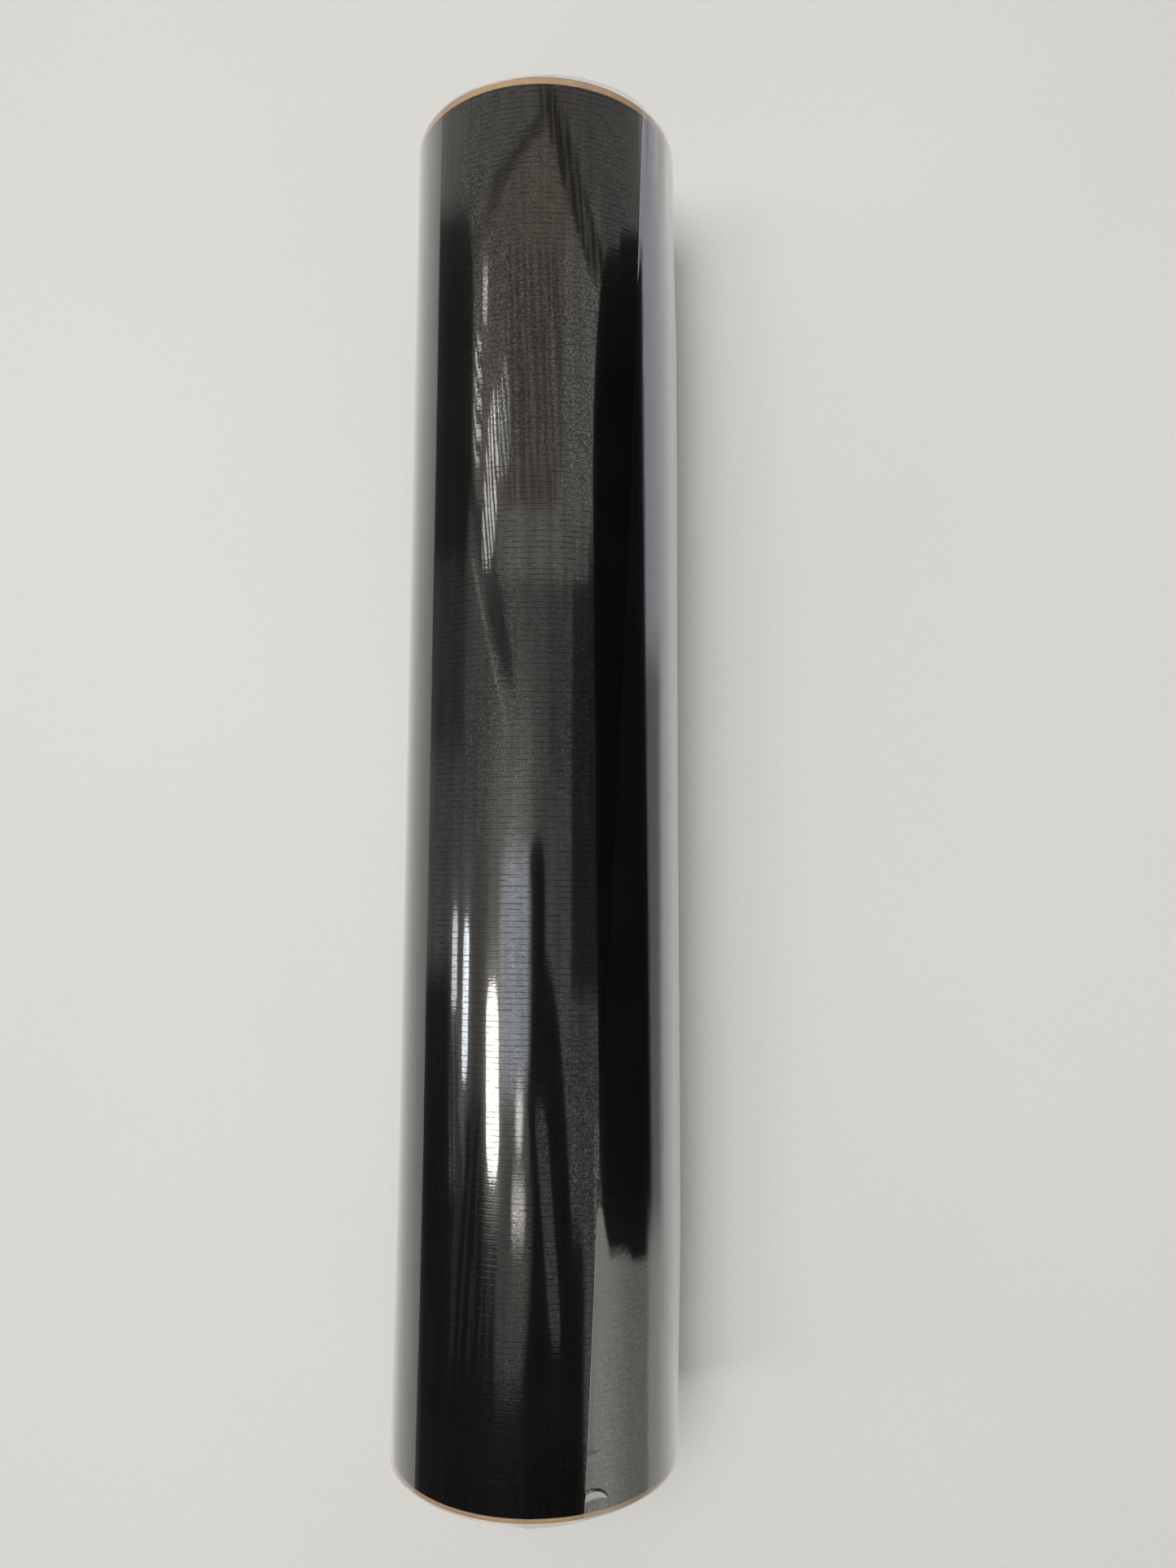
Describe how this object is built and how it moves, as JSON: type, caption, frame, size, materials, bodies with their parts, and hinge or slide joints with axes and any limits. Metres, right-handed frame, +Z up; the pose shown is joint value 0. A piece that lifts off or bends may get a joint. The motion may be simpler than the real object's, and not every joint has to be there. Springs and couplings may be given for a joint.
{
  "type": "roll of sign vinyl",
  "caption": "Roll of glossy self-adhesive vinyl on a cardboard core, with kraft board end discs, shrouded in clear wrap film tucked into the core.",
  "frame": {"origin": "centre of the core's bore, at the middle of the web's width", "axes": "+Y along the core towards the far end, +Z up as the roll lies on a surface, +X to the right seen from above with the far end up"},
  "size_m": [0.128, 0.6154, 0.1278],
  "materials": {
    "core_board": "matte brown spiral-wound board",
    "tape": "double-sided tissue tape",
    "wound_edges": "slit edges of vinyl and liner",
    "liner_paper": "siliconised kraft release liner",
    "black_vinyl": "high-gloss black calendered vinyl",
    "kraft_board": "matte kraft board",
    "clear_film": "glossy clear polyethylene film"
  },
  "bodies": {
    "root": {"core": "core_board", "start_tape": "tape", "wound_turns": "wound_edges", "outer_liner": "liner_paper", "outer_face_film": "black_vinyl", "end_disc_far": "kraft_board", "end_disc_near": "kraft_board", "wrap_film": "clear_film"}
  },
  "joints": []
}
